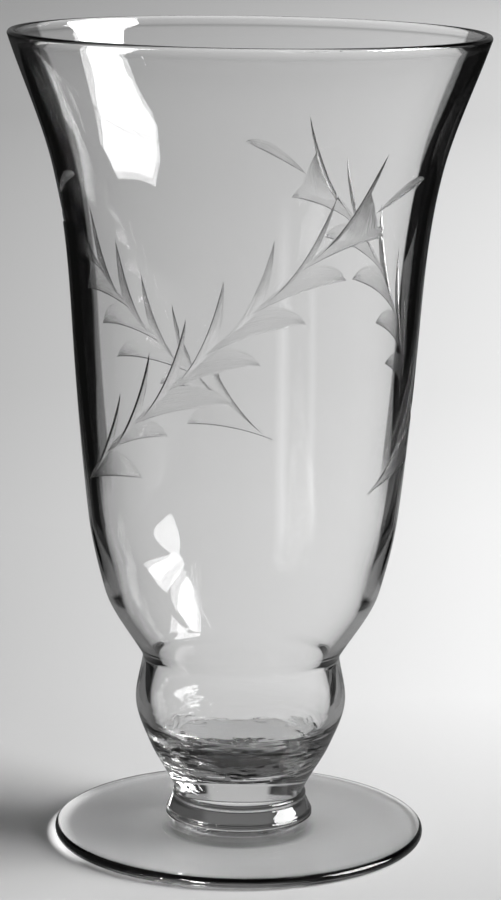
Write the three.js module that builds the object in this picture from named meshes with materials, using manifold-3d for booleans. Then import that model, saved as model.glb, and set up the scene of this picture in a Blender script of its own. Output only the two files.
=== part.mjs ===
// A clear glass vase: a blown bowl with a flared bell over a round bulb, a turned collar and a round foot.
// Three leaf sprays are wheel cut into the outside of the bell.
// Millimetres, +Z up along the vase's axis, origin at the centre of the ring that the foot rests on.
// The front of the vase faces -Y. Azimuths are in degrees, 0 at the front and growing towards +X.

import * as THREE from 'three';
import { mergeVertices } from 'three/addons/utils/BufferGeometryUtils.js';
import Module from 'manifold-3d';

// Whole vase
const VASE_HEIGHT = 254;

// Foot: a slightly domed disc that thins from the collar out to a rounded edge. Its hollow underside leaves a
// flat ring near the edge, on which the vase rests.
const FOOT_RADIUS = 58.6;
const FOOT_EDGE_THICKNESS = 3.2;
const FOOT_CENTRE_THICKNESS = 6.6;
const FOOT_EDGE_ROUND = 1.4;
const REST_WIDTH = 4;
const HOLLOW_HEIGHT = 2.8;

// Collar: the wafer of glass between foot and bowl, with a round bead over a flared ring and a thin heel
const COLLAR_HEIGHT = 7.7;
const BEAD_HEIGHT = 2.2;
const BEAD_PROUD = 0.9;
const HEEL_RADIUS = 23.2;
const HEEL_HEIGHT = 1.8;
const RING_LOWER_RADIUS = 22.7;
const RING_UPPER_RADIUS = 20.9;
const RING_SWELL = 0.25;

// Bowl, outside: radius, height and lean at each station, lean being the gain in radius per unit of height
const NECK_RADIUS = 20.3;
const NECK_LEAN = 0.36;
const HIP_RADIUS = 28.7;
const HIP_HEIGHT = 30;
const HIP_LEAN = 0.42;
const BULB_RADIUS = 33.2;
const BULB_HEIGHT = 44.5;
const WAIST_RADIUS = 31.1;
const WAIST_HEIGHT = 58.5;
const WAIST_LEAN_BELOW = -0.14;
const WAIST_LEAN_ABOVE = 0.6;
const SHOULDER_RADIUS = 43.3;
const SHOULDER_HEIGHT = 80;
const SHOULDER_LEAN = 0.283;
const BELLY_RADIUS = 48.6;
const BELLY_HEIGHT = 105;
const BELLY_LEAN = 0.116;
const THROAT_RADIUS = 53.9;
const THROAT_HEIGHT = 165;
const THROAT_LEAN = 0.064;
const FLARE_RADIUS = 59.8;
const FLARE_HEIGHT = 212;
const FLARE_LEAN = 0.234;
const RIM_RADIUS = 73.9;
const RIM_LEAN = 0.331;

// Bowl, glass thickness, measured level from the outside to the inside
const RIM_WALL = 2.3;
const LIP_ROUND = 1.2;
const FLARE_WALL = 2.9;
const THROAT_WALL = 3.1;
const BELLY_WALL = 3.4;
const SHOULDER_WALL = 4.2;
const WAIST_WALL = 4.4;
const WAIST_SOFTENING = 1.5;
const BULB_WALL = 4.4;
const CAVITY_FLOOR = 25;

// Leaf sprays: pairs of leaves on a stem that climbs round the bell, with azimuths in degrees
const SPRAY_COUNT = 3;
const SPRAY_START = -71;
const SPRAY_START_HEIGHT = 117.3;
const SPRAY_START_CLIMB = 0.58;
const SPRAY_TURN = 91;
const SPRAY_RISE = 73.9;
const SPRAY_END_CLIMB = 0.86;
const FIRST_PAIR_STEP = 21;

// Each pair has an upright blade and a spreading leaf, whose reach round the bell is given pair by pair
const BLADE_TURNS = [26, 18, 17, 15, 16, 20, 21];
const BLADE_RISE = 31;
const BLADE_BEND = 0.34;
const BLADE_SWELL = 2;
const LEAF_TURNS = [34, 24, 32, 27, 27, 26, 25];
const LEAF_RISE = 5.5;
const LEAF_BEND = 0.8;
const LEAF_SWELL = 7;
const LEAF_SET_BACK = 0.36;

// The stem ends in a short blade and one leaf that points on along the stem
const END_BLADE_TURN = 10;
const END_BLADE_RISE = 14;
const END_BLADE_SPREAD = 17;
const TIP_LEAF_GAP = 7;
const TIP_LEAF_LIFT = 0.7;
const TIP_LEAF_TURN = 20;
const TIP_LEAF_RISE = 9;
const TIP_LEAF_BEND = 0;
const TIP_LEAF_SWELL = 10;

// The wheel cuts deepest under a leaf's sharp edge and runs out at its far edge
const CUT_ROOT_DEPTH = 0.7;
const CUT_TIP_DEPTH = 0.28;
const CUT_RUN_OUT = 0.12;
const CUT_CLEARANCE = 0.7;
const CUT_OVERLAP = 0.6;
const CUT_TIP_SHARE = 0.02;
const CUT_STEPS = 4;

// How finely each form is divided
const AROUND = 60;
const BULB_STEPS = 3;
const BELL_STEPS = 4;
const INSIDE_STEPS = 2;
const FLOOR_STEPS = 5;
const ROUND_STEPS = 3;

const COLLAR_BASE = FOOT_CENTRE_THICKNESS;
const NECK_HEIGHT = COLLAR_BASE + COLLAR_HEIGHT;
const LIP_HEIGHT = VASE_HEIGHT - LIP_ROUND;

function point(across, up) {
  return new THREE.Vector2(across, up);
}

function station(radius, height, lean) {
  return { radius, height, lean };
}

const BULB_STATIONS = [
  station(NECK_RADIUS, NECK_HEIGHT, NECK_LEAN),
  station(HIP_RADIUS, HIP_HEIGHT, HIP_LEAN),
  station(BULB_RADIUS, BULB_HEIGHT, 0),
  station(WAIST_RADIUS, WAIST_HEIGHT, WAIST_LEAN_BELOW),
];

const BELL_STATIONS = [
  station(WAIST_RADIUS, WAIST_HEIGHT, WAIST_LEAN_ABOVE),
  station(SHOULDER_RADIUS, SHOULDER_HEIGHT, SHOULDER_LEAN),
  station(BELLY_RADIUS, BELLY_HEIGHT, BELLY_LEAN),
  station(THROAT_RADIUS, THROAT_HEIGHT, THROAT_LEAN),
  station(FLARE_RADIUS, FLARE_HEIGHT, FLARE_LEAN),
  station(RIM_RADIUS, LIP_HEIGHT, RIM_LEAN),
];

// The inside from the lip down to the bulb, set in from the outside by the glass thickness. At the waist it
// turns over a short height, where the outside has a crease.
const INSIDE_STATIONS = [
  station(RIM_RADIUS - RIM_WALL, LIP_HEIGHT, RIM_LEAN),
  station(FLARE_RADIUS - FLARE_WALL, FLARE_HEIGHT, FLARE_LEAN),
  station(THROAT_RADIUS - THROAT_WALL, THROAT_HEIGHT, THROAT_LEAN),
  station(BELLY_RADIUS - BELLY_WALL, BELLY_HEIGHT, BELLY_LEAN),
  station(SHOULDER_RADIUS - SHOULDER_WALL, SHOULDER_HEIGHT, SHOULDER_LEAN),
  station(
    WAIST_RADIUS - WAIST_WALL + WAIST_SOFTENING * WAIST_LEAN_ABOVE,
    WAIST_HEIGHT + WAIST_SOFTENING, WAIST_LEAN_ABOVE),
  station(
    WAIST_RADIUS - WAIST_WALL - WAIST_SOFTENING * WAIST_LEAN_BELOW,
    WAIST_HEIGHT - WAIST_SOFTENING, WAIST_LEAN_BELOW),
  station(BULB_RADIUS - BULB_WALL, BULB_HEIGHT, 0),
];

// The cubic curve that joins two stations, even in height along its length.
function stationCurve(from, to) {
  const third = (to.height - from.height) / 3;
  return new THREE.CubicBezierCurve(
    point(from.radius, from.height),
    point(from.radius + third * from.lean, from.height + third),
    point(to.radius - third * to.lean, to.height - third),
    point(to.radius, to.height),
  );
}

function throughStations(stations, steps) {
  const points = [point(stations[0].radius, stations[0].height)];
  for (let i = 1; i < stations.length; i += 1) {
    points.push(...stationCurve(stations[i - 1], stations[i]).getPoints(steps).slice(1));
  }
  return points;
}

// Points of an elliptical arc in the outline's plane, from one angle to another.
function arc(centreRadius, centreHeight, radiusAcross, radiusUp, from, to, steps) {
  const curve = new THREE.EllipseCurve(
    centreRadius, centreHeight, radiusAcross, radiusUp, from, to, to < from);
  return curve.getPoints(steps);
}

// Removes points that fall on the one before, so that no ring of the lathe is doubled.
function withoutDoubles(points) {
  const nearest = 1e-4;
  return points.filter((p, i) => i === 0 || p.distanceTo(points[i - 1]) > nearest);
}

// A closed turned solid about +Z from an outline that starts and ends on the axis, with its faces outwards.
function turned(outline) {
  const geometry = new THREE.LatheGeometry(withoutDoubles(outline), AROUND);
  geometry.rotateX(Math.PI / 2);
  return geometry;
}

function lipOutline() {
  const middle = RIM_RADIUS - RIM_WALL / 2;
  return arc(middle, LIP_HEIGHT, RIM_WALL / 2, LIP_ROUND, 0, Math.PI, 2 * ROUND_STEPS);
}

function cavityFloorOutline() {
  const across = BULB_RADIUS - BULB_WALL;
  const deep = BULB_HEIGHT - CAVITY_FLOOR;
  return arc(0, BULB_HEIGHT, across, deep, 0, -Math.PI / 2, FLOOR_STEPS);
}

function uncutBowlGeometry() {
  return turned([
    point(0, NECK_HEIGHT),
    ...throughStations(BULB_STATIONS, BULB_STEPS),
    ...throughStations(BELL_STATIONS, BELL_STEPS),
    ...lipOutline(),
    ...throughStations(INSIDE_STATIONS, INSIDE_STEPS),
    ...cavityFloorOutline(),
  ]);
}

// The bell's outside at a height: its radius and its lean there.
function bellAt(height) {
  const last = BELL_STATIONS.length - 1;
  let i = 1;
  while (i < last && BELL_STATIONS[i].height < height) i += 1;
  const from = BELL_STATIONS[i - 1];
  const to = BELL_STATIONS[i];
  const along = (height - from.height) / (to.height - from.height);
  const curve = stationCurve(from, to);
  const tangent = curve.getTangent(along);
  return { radius: curve.getPoint(along).x, lean: tangent.x / tangent.y };
}

// A place on the bell's outside from (azimuth, height), stood off along the outward normal.
function onBell(place, standOff) {
  const { radius, lean } = bellAt(place.y);
  const slope = Math.atan(lean);
  const azimuth = THREE.MathUtils.degToRad(place.x);
  const reach = radius + standOff * Math.cos(slope);
  return new THREE.Vector3(
    reach * Math.sin(azimuth), -reach * Math.cos(azimuth), place.y - standOff * Math.sin(slope));
}

// The stem of a spray as a curve of (azimuth, height), even in azimuth along its length.
function sprayStem(start) {
  const third = SPRAY_TURN / 3;
  return new THREE.CubicBezierCurve(
    point(start, SPRAY_START_HEIGHT),
    point(start + third, SPRAY_START_HEIGHT + third * SPRAY_START_CLIMB),
    point(start + 2 * third, SPRAY_START_HEIGHT + SPRAY_RISE - third * SPRAY_END_CLIMB),
    point(start + SPRAY_TURN, SPRAY_START_HEIGHT + SPRAY_RISE),
  );
}

// Where each pair leaves the stem, and one more place past the last pair for the tip.
function stemNodes(start) {
  const stem = sprayStem(start);
  const pairs = BLADE_TURNS.length;
  const step = (SPRAY_TURN - FIRST_PAIR_STEP) / (pairs - 2);
  const nodes = [stem.getPoint(0)];
  for (let i = 0; i < pairs - 1; i += 1) {
    nodes.push(stem.getPoint((FIRST_PAIR_STEP + i * step) / SPRAY_TURN));
  }
  nodes.push(point(nodes[pairs - 1].x + step, nodes[pairs - 1].y + step * SPRAY_END_CLIMB));
  return nodes;
}

function offset(place, turn, rise) {
  return point(place.x + turn, place.y + rise);
}

// An edge in (azimuth, height) whose middle is pulled off the straight line between its ends.
function bentEdge(from, to, pullTurn, pullRise) {
  const pulled = offset(from.clone().lerp(to, 0.5), pullTurn, pullRise);
  return new THREE.QuadraticBezierCurve(from, pulled, to);
}

// An upright blade: its sharp edge leaves along the stem and curves up, its far edge drops to the next node.
function bladeEdges(root, next, turn, rise) {
  const tip = offset(root, turn, rise);
  const foot = offset(root, 0, -CUT_OVERLAP);
  const heel = offset(next, CUT_OVERLAP, -CUT_OVERLAP);
  return {
    sharp: bentEdge(foot, tip, BLADE_BEND * turn / 2, -BLADE_BEND * rise / 2),
    far: bentEdge(heel, tip, BLADE_SWELL, 0),
  };
}

// A spreading leaf: its sharp edge starts a little back down the stem and runs out below to a level tip, its
// far edge is a full curve above.
function leafEdges(root, before, next, turn, rise, bend, swell) {
  const tip = offset(root, turn, rise);
  const foot = offset(root.clone().lerp(before, LEAF_SET_BACK), -CUT_OVERLAP, 0);
  const heel = offset(next, CUT_OVERLAP, 2 * CUT_OVERLAP);
  return {
    sharp: bentEdge(foot, tip, 0, bend * (tip.y - foot.y) / 2),
    far: bentEdge(heel, tip, swell / 2, swell),
  };
}

// A section across a wheel cut, from under its sharp edge to where it runs out, and back clear of the wall.
function cutSection(edge, opposite, depth) {
  const middle = edge.clone().lerp(opposite, 0.5);
  return [
    onBell(edge, -depth),
    onBell(middle, (CUT_RUN_OUT - depth) / 2),
    onBell(opposite, CUT_RUN_OUT),
    onBell(opposite, CUT_CLEARANCE),
    onBell(middle, CUT_CLEARANCE),
    onBell(edge, CUT_CLEARANCE),
  ];
}

// A closed solid through equal rings of corners. Each end is capped across, its first corner to its last and
// so on, because a section that bends round the bell can't be capped as a fan.
function skinned(rings) {
  const sides = rings[0].length;
  const indices = [];
  for (let i = 0; i < rings.length - 1; i += 1) {
    for (let j = 0; j < sides; j += 1) {
      const a = i * sides + j;
      const b = i * sides + ((j + 1) % sides);
      indices.push(a, b, b + sides, a, b + sides, a + sides);
    }
  }
  const end = (rings.length - 1) * sides;
  for (let j = 0; j < sides / 2 - 1; j += 1) {
    const [a, b, c, d] = [j, j + 1, sides - 2 - j, sides - 1 - j];
    indices.push(a, c, b, a, d, c, end + a, end + b, end + c, end + a, end + c, end + d);
  }
  const geometry = new THREE.BufferGeometry().setFromPoints(rings.flat());
  geometry.setIndex(indices);
  return geometry;
}

// The solid that one wheel cut takes away. It gets shallower towards the tip, where it keeps a small width.
function wheelCutGeometry({ sharp, far }) {
  const sections = [];
  for (let i = 0; i <= CUT_STEPS; i += 1) {
    const along = i / CUT_STEPS;
    const inset = CUT_TIP_SHARE + (1 - 2 * CUT_TIP_SHARE) * along;
    const depth = CUT_ROOT_DEPTH + (CUT_TIP_DEPTH - CUT_ROOT_DEPTH) * along * along;
    sections.push(cutSection(sharp.getPoint(along), far.getPoint(inset), depth));
  }
  return skinned(sections);
}

function sprayCuts(start) {
  const nodes = stemNodes(start);
  const edges = [];
  for (let i = 0; i < BLADE_TURNS.length; i += 1) {
    edges.push(bladeEdges(nodes[i], nodes[i + 1], BLADE_TURNS[i], BLADE_RISE));
    const before = nodes[Math.max(i - 1, 0)];
    edges.push(leafEdges(nodes[i], before, nodes[i + 1], LEAF_TURNS[i], LEAF_RISE, LEAF_BEND, LEAF_SWELL));
  }
  const end = nodes[BLADE_TURNS.length];
  const endRoot = nodes[BLADE_TURNS.length - 1].clone().lerp(end, 0.5);
  edges.push(bladeEdges(endRoot, offset(endRoot, END_BLADE_SPREAD, 0), END_BLADE_TURN, END_BLADE_RISE));
  const tipRoot = offset(end, TIP_LEAF_GAP, TIP_LEAF_LIFT);
  edges.push(leafEdges(
    tipRoot, tipRoot, tipRoot, TIP_LEAF_TURN, TIP_LEAF_RISE, TIP_LEAF_BEND, TIP_LEAF_SWELL));
  return edges.map(wheelCutGeometry);
}

function signedVolume(positions, indices) {
  const [a, b, c] = [new THREE.Vector3(), new THREE.Vector3(), new THREE.Vector3()];
  let total = 0;
  for (let i = 0; i < indices.length; i += 3) {
    a.fromArray(positions, 3 * indices[i]);
    b.fromArray(positions, 3 * indices[i + 1]);
    c.fromArray(positions, 3 * indices[i + 2]);
    total += a.dot(b.cross(c)) / 6;
  }
  return total;
}

// A geometry as a closed solid, its shared corners merged, its flat triangles dropped and its faces outwards.
function solidFrom(wasm, geometry) {
  const bare = geometry.clone();
  bare.deleteAttribute('normal');
  bare.deleteAttribute('uv');
  const merged = mergeVertices(bare, 1e-4);
  const positions = merged.attributes.position.array;
  const kept = [];
  for (let i = 0; i < merged.index.count; i += 3) {
    const [a, b, c] = [0, 1, 2].map((k) => merged.index.getX(i + k));
    if (a !== b && b !== c && c !== a) kept.push(a, b, c);
  }
  if (signedVolume(positions, kept) < 0) kept.reverse();
  const mesh = new wasm.Mesh({ numProp: 3, vertProperties: positions, triVerts: Uint32Array.from(kept) });
  return new wasm.Manifold(mesh);
}

function geometryFrom(solid) {
  const mesh = solid.getMesh();
  const geometry = new THREE.BufferGeometry();
  geometry.setAttribute('position', new THREE.BufferAttribute(Float32Array.from(mesh.vertProperties), 3));
  geometry.setIndex(Array.from(mesh.triVerts));
  geometry.computeVertexNormals();
  return geometry;
}

// Thin chips come loose where two cuts cross, so only the largest body is kept.
function withoutChips(solid) {
  return solid.decompose().reduce((a, b) => (a.volume() > b.volume() ? a : b));
}

async function bowlGeometry() {
  const wasm = await Module();
  wasm.setup();
  let bowl = solidFrom(wasm, uncutBowlGeometry());
  for (let i = 0; i < SPRAY_COUNT; i += 1) {
    const start = SPRAY_START + (i * 360) / SPRAY_COUNT;
    sprayCuts(start).forEach((cut) => { bowl = bowl.subtract(solidFrom(wasm, cut)); });
  }
  return geometryFrom(withoutChips(bowl));
}

function collarGeometry() {
  const beadBase = NECK_HEIGHT - BEAD_HEIGHT;
  const heelTop = COLLAR_BASE + HEEL_HEIGHT;
  const swellHeight = (beadBase + heelTop) / 2;
  const swellRadius = (RING_LOWER_RADIUS + RING_UPPER_RADIUS) / 2 + RING_SWELL;
  const ring = new THREE.QuadraticBezierCurve(
    point(RING_LOWER_RADIUS, heelTop),
    point(swellRadius, swellHeight),
    point(RING_UPPER_RADIUS, beadBase),
  );
  return turned([
    point(0, COLLAR_BASE),
    ...arc(HEEL_RADIUS - HEEL_HEIGHT / 2, COLLAR_BASE + HEEL_HEIGHT / 2,
      HEEL_HEIGHT / 2, HEEL_HEIGHT / 2, -Math.PI / 2, Math.PI / 4, ROUND_STEPS),
    ...ring.getPoints(ROUND_STEPS),
    ...arc(NECK_RADIUS, beadBase + BEAD_HEIGHT / 2,
      BEAD_PROUD, BEAD_HEIGHT / 2, -Math.PI / 4, Math.PI / 2, ROUND_STEPS),
    point(0, NECK_HEIGHT),
  ]);
}

function footGeometry() {
  const edge = FOOT_RADIUS - FOOT_EDGE_ROUND;
  const seat = HEEL_RADIUS;
  const run = edge - seat;
  const rise = FOOT_CENTRE_THICKNESS - FOOT_EDGE_THICKNESS;
  const top = new THREE.CubicBezierCurve(
    point(edge, FOOT_EDGE_THICKNESS),
    point(edge - run / 3, FOOT_EDGE_THICKNESS + rise / 6),
    point(seat + run / 3, FOOT_EDGE_THICKNESS + rise / 2),
    point(seat, FOOT_CENTRE_THICKNESS),
  );
  const restInside = edge - REST_WIDTH;
  const hollow = new THREE.CubicBezierCurve(
    point(0, HOLLOW_HEIGHT),
    point(restInside * 0.45, HOLLOW_HEIGHT),
    point(restInside * 0.72, HOLLOW_HEIGHT * 0.3),
    point(restInside, 0),
  );
  return turned([
    ...hollow.getPoints(2 * ROUND_STEPS),
    ...arc(edge, FOOT_EDGE_ROUND, FOOT_EDGE_ROUND, FOOT_EDGE_ROUND, -Math.PI / 2, 0, ROUND_STEPS),
    ...arc(edge, FOOT_EDGE_THICKNESS - FOOT_EDGE_ROUND,
      FOOT_EDGE_ROUND, FOOT_EDGE_ROUND, 0, Math.PI / 2, ROUND_STEPS),
    ...top.getPoints(ROUND_STEPS),
    point(0, FOOT_CENTRE_THICKNESS),
  ]);
}

function clearGlass(tint) {
  return new THREE.MeshStandardMaterial({
    color: tint,
    roughness: 0.03,
    metalness: 0,
    transparent: true,
    opacity: 0.35,
  });
}

function glassPiece(name, geometry, tint) {
  const mesh = new THREE.Mesh(geometry, clearGlass(tint));
  mesh.name = name;
  return mesh;
}

const vase = new THREE.Group();
vase.add(glassPiece('foot', footGeometry(), 0xe6eaea));
vase.add(glassPiece('collar', collarGeometry(), 0xe2e7e7));
vase.add(glassPiece('bowl', await bowlGeometry(), 0xe8ecec));

export default vase;
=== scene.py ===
# %% [markdown]
# # A cut-glass footed vase
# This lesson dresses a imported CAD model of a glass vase. The real vase is three pieces of hot glass fused
# together: a blown bowl, a turned collar and a cast foot. Three leaf sprays are cut into the bowl with a
# stone wheel. The CAD pieces hold the true sizes. Here each is turned again as a finer mesh, then cut and
# given its glass.

# %% Load the frame
import math

import bmesh
import bpy
from mathutils import Matrix, Vector


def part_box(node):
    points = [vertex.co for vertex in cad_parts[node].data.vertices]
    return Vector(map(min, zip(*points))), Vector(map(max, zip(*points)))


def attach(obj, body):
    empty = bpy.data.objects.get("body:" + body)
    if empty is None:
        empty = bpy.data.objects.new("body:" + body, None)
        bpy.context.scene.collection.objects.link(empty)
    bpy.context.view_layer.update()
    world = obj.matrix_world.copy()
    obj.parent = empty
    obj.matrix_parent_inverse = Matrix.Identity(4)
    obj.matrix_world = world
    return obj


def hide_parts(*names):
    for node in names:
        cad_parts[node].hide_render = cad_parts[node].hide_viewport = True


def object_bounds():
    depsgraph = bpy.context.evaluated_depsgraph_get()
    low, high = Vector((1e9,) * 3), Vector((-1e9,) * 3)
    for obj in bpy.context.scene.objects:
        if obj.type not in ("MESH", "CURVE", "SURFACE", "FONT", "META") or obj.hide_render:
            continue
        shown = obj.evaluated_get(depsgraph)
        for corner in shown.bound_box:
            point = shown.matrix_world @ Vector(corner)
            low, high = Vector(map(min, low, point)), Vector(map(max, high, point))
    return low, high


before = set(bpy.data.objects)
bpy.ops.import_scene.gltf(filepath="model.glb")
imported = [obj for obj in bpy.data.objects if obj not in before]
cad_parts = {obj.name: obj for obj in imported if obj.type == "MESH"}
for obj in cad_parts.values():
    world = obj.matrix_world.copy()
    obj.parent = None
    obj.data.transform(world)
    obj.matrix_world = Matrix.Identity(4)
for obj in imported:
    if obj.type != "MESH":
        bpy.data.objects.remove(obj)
cad_low, cad_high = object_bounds()
print("CAD box, mm:", [round(1000 * c) for c in (*cad_low, *cad_high)])

# %% [markdown]
# ## Sizes
# Glassmakers work in millimetres and Blender in metres, so every size is written in millimetres and
# multiplied by MM once, where it becomes a vertex. The height comes from the frame. The rest are the
# stations of the outline: a radius, a height and a lean, which is how fast the wall spreads as it climbs.
# The solid has a crease where the bell meets the bulb. Hot glass never keeps a crease, so here two
# stations 3 mm apart round it off.

# %% Driving sizes
MM = 0.001
VASE_HEIGHT = cad_high.z / MM
COLLAR_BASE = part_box("collar")[0].z / MM
NECK_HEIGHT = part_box("collar")[1].z / MM
FOOT_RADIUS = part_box("foot")[1].x / MM
NECK_RADIUS = 20.3
LIP_ROUND = 1.2
LIP_HEIGHT = VASE_HEIGHT - LIP_ROUND
RIM_RADIUS = 73.9
RIM_WALL = 2.3
BULB_HEIGHT = 44.5
BULB_RADIUS = 33.2
BULB_WALL = 4.4
CAVITY_FLOOR = 25
BULB_TOP = (31.16, 57, -0.14)
BELL_FOOT = (31.85, 60, 0.6)

BULB_STATIONS = [
    (NECK_RADIUS, NECK_HEIGHT, 0.36),
    (28.7, 30, 0.42),
    (BULB_RADIUS, BULB_HEIGHT, 0),
    BULB_TOP,
]
BELL_STATIONS = [
    BULB_TOP,
    BELL_FOOT,
    (43.3, 80, 0.283),
    (48.6, 105, 0.116),
    (53.9, 165, 0.064),
    (59.8, 212, 0.234),
    (RIM_RADIUS, LIP_HEIGHT, 0.331),
]
print("vase height", round(VASE_HEIGHT, 1), "neck at", round(NECK_HEIGHT, 1))

# %% [markdown]
# ## The wall of the bowl
# A blown wall is thin at the rim and thicker towards the base. The inside repeats the outside's stations,
# each set in by the wall there, so it runs parallel to the outside through the waist. That matters for the
# look: an inside that cut the corner would make a lens of the waist and draw a dark wedge at each side.

# %% Inside of the bowl
WALLS_FROM_RIM = [RIM_WALL, 2.9, 3.1, 3.4, 4.2, 4.25, 4.25]
INSIDE_STATIONS = [
    (radius - wall, height, lean)
    for (radius, height, lean), wall in zip(reversed(BELL_STATIONS), WALLS_FROM_RIM)
]
INSIDE_STATIONS.append((BULB_RADIUS - BULB_WALL, BULB_HEIGHT, 0))
print("inside radii, mm:", [round(station[0], 1) for station in INSIDE_STATIONS])

# %% [markdown]
# ## Drawing an outline
# Every piece of this vase is round, so its shape is one outline swung about the middle. A real gaffer
# shapes the glass in long smooth sweeps, so the outline is drawn with cubic curves from station to
# station, and with arcs at the lip and in the floor of the bowl.


# %% Outline helpers
def curve_point(controls, t):
    """The point at share t of the Bezier curve with these control points."""
    points = [Vector(c) for c in controls]
    while len(points) > 1:
        points = [a.lerp(b, t) for a, b in zip(points, points[1:])]
    return points[0]


def curve_points(controls, steps):
    """Points of the whole Bezier curve, in even steps."""
    return [curve_point(controls, i / steps) for i in range(steps + 1)]


def station_curve(start, end):
    """Control points of the curve between two stations, even in height along its length."""
    third = (end[1] - start[1]) / 3
    return [
        (start[0], start[1]),
        (start[0] + third * start[2], start[1] + third),
        (end[0] - third * end[2], end[1] - third),
        (end[0], end[1]),
    ]


def through_stations(stations, steps):
    """Points of (radius, height) along the curves from station to station."""
    points = [Vector(stations[0][:2])]
    for start, end in zip(stations, stations[1:]):
        points += curve_points(station_curve(start, end), steps)[1:]
    return points


def arc(centre, across, up, start, end, steps):
    """Points of an elliptical arc, its angles in degrees from level outwards."""
    angles = [math.radians(start + (end - start) * i / steps) for i in range(steps + 1)]
    return [Vector((centre[0] + across * math.cos(a), centre[1] + up * math.sin(a))) for a in angles]


# %% [markdown]
# ## Turning a piece
# By hand, this is a vertex that is extruded from point to point and then spun. The plane gives the first
# vertex once its corners are merged. After the spin, the points on the axis are many in one place, so
# they are merged, and the normals are worked out again so that every face looks outwards.


# %% Turning helper
AROUND = 192
SAME_PLACE = 1e-3


def select_only(obj):
    """Makes obj the only selected object and the active one."""
    bpy.ops.object.select_all(action="DESELECT")
    obj.select_set(True)
    bpy.context.view_layer.objects.active = obj


def without_doubles(outline):
    """The outline without points that fall on the one before."""
    kept = [outline[0]]
    for point in outline[1:]:
        if (point - kept[-1]).length > SAME_PLACE:
            kept.append(point)
    return kept


def piece_top(piece):
    """The height of a piece's highest vertex, in millimetres."""
    return max(v.co.z for v in piece.data.vertices) / MM


def turned(name, outline):
    """A closed round piece from an outline in millimetres that starts and ends on the axis."""
    places = [Vector((p[0], 0, p[1])) * MM for p in without_doubles(outline)]
    bpy.ops.object.select_all(action="DESELECT")
    bpy.ops.mesh.primitive_plane_add(size=MM, location=places[0])
    piece = bpy.context.active_object
    piece.name = piece.data.name = name
    bpy.ops.object.transform_apply(location=True, rotation=False, scale=False)
    bpy.ops.object.mode_set(mode="EDIT")
    bpy.ops.mesh.merge(type="CENTER")
    for here, there in zip(places, places[1:]):
        bpy.ops.mesh.extrude_region_move(TRANSFORM_OT_translate={"value": there - here})
    bpy.ops.mesh.select_all(action="SELECT")
    bpy.ops.mesh.spin(steps=AROUND, angle=2 * math.pi, center=(0, 0, 0), axis=(0, 0, 1))
    bpy.ops.mesh.select_all(action="SELECT")
    bpy.ops.mesh.remove_doubles(threshold=SAME_PLACE * MM)
    bpy.ops.mesh.normals_make_consistent(inside=False)
    bpy.ops.object.mode_set(mode="OBJECT")
    print(name, "has", len(piece.data.polygons), "faces and is", round(piece_top(piece), 2), "mm high")
    return piece


# %% [markdown]
# ## The bowl
# The bowl is one outline: up the outside from the neck, over the fire-polished lip, and down the inside
# to the rounded floor of the cavity. Below that floor the glass is solid, which is what makes the bulb
# bend light so strongly.

# %% Turn the bowl
lip = arc((RIM_RADIUS - RIM_WALL / 2, LIP_HEIGHT), RIM_WALL / 2, LIP_ROUND, 0, 180, 12)
cavity_floor = arc((0, BULB_HEIGHT), BULB_RADIUS - BULB_WALL, BULB_HEIGHT - CAVITY_FLOOR, 0, -90, 20)
bowl = turned("vase_bowl", [
    Vector((0, NECK_HEIGHT)),
    *through_stations(BULB_STATIONS, 10),
    *through_stations(BELL_STATIONS, 20),
    *lip,
    *through_stations(INSIDE_STATIONS, 14),
    *cavity_floor,
])

# %% [markdown]
# ## The collar
# The collar is the wafer that joins bowl and foot. It has a small bead at the top, a ring that flares
# towards the foot and a thin heel that was pressed down on it. The ring swells a little, because hot
# glass that is squeezed between two pieces bulges outwards.

# %% Turn the collar
HEEL_RADIUS = 23.2
HEEL_HEIGHT = 1.8
BEAD_HEIGHT = 2.2
BEAD_PROUD = 0.9
RING_LOWER_RADIUS = 22.7
RING_UPPER_RADIUS = 20.9
RING_SWELL = 0.25
heel_top = COLLAR_BASE + HEEL_HEIGHT
heel_round = HEEL_HEIGHT / 2
bead_base = NECK_HEIGHT - BEAD_HEIGHT
bead_round = BEAD_HEIGHT / 2
ring = [
    (RING_LOWER_RADIUS, heel_top),
    ((RING_LOWER_RADIUS + RING_UPPER_RADIUS) / 2 + RING_SWELL, (bead_base + heel_top) / 2),
    (RING_UPPER_RADIUS, bead_base),
]
collar = turned("vase_collar", [
    Vector((0, COLLAR_BASE)),
    *arc((HEEL_RADIUS - heel_round, COLLAR_BASE + heel_round), heel_round, heel_round, -90, 45, 10),
    *curve_points(ring, 8),
    *arc((NECK_RADIUS, bead_base + bead_round), BEAD_PROUD, bead_round, -45, 90, 12),
    Vector((0, NECK_HEIGHT)),
])

# %% [markdown]
# ## The foot
# The foot is a slightly domed disc. Its top falls away gently from the collar, its edge is fully rounded,
# and its underside is hollowed to match, so that the vase rests on a ring near the edge.

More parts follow.
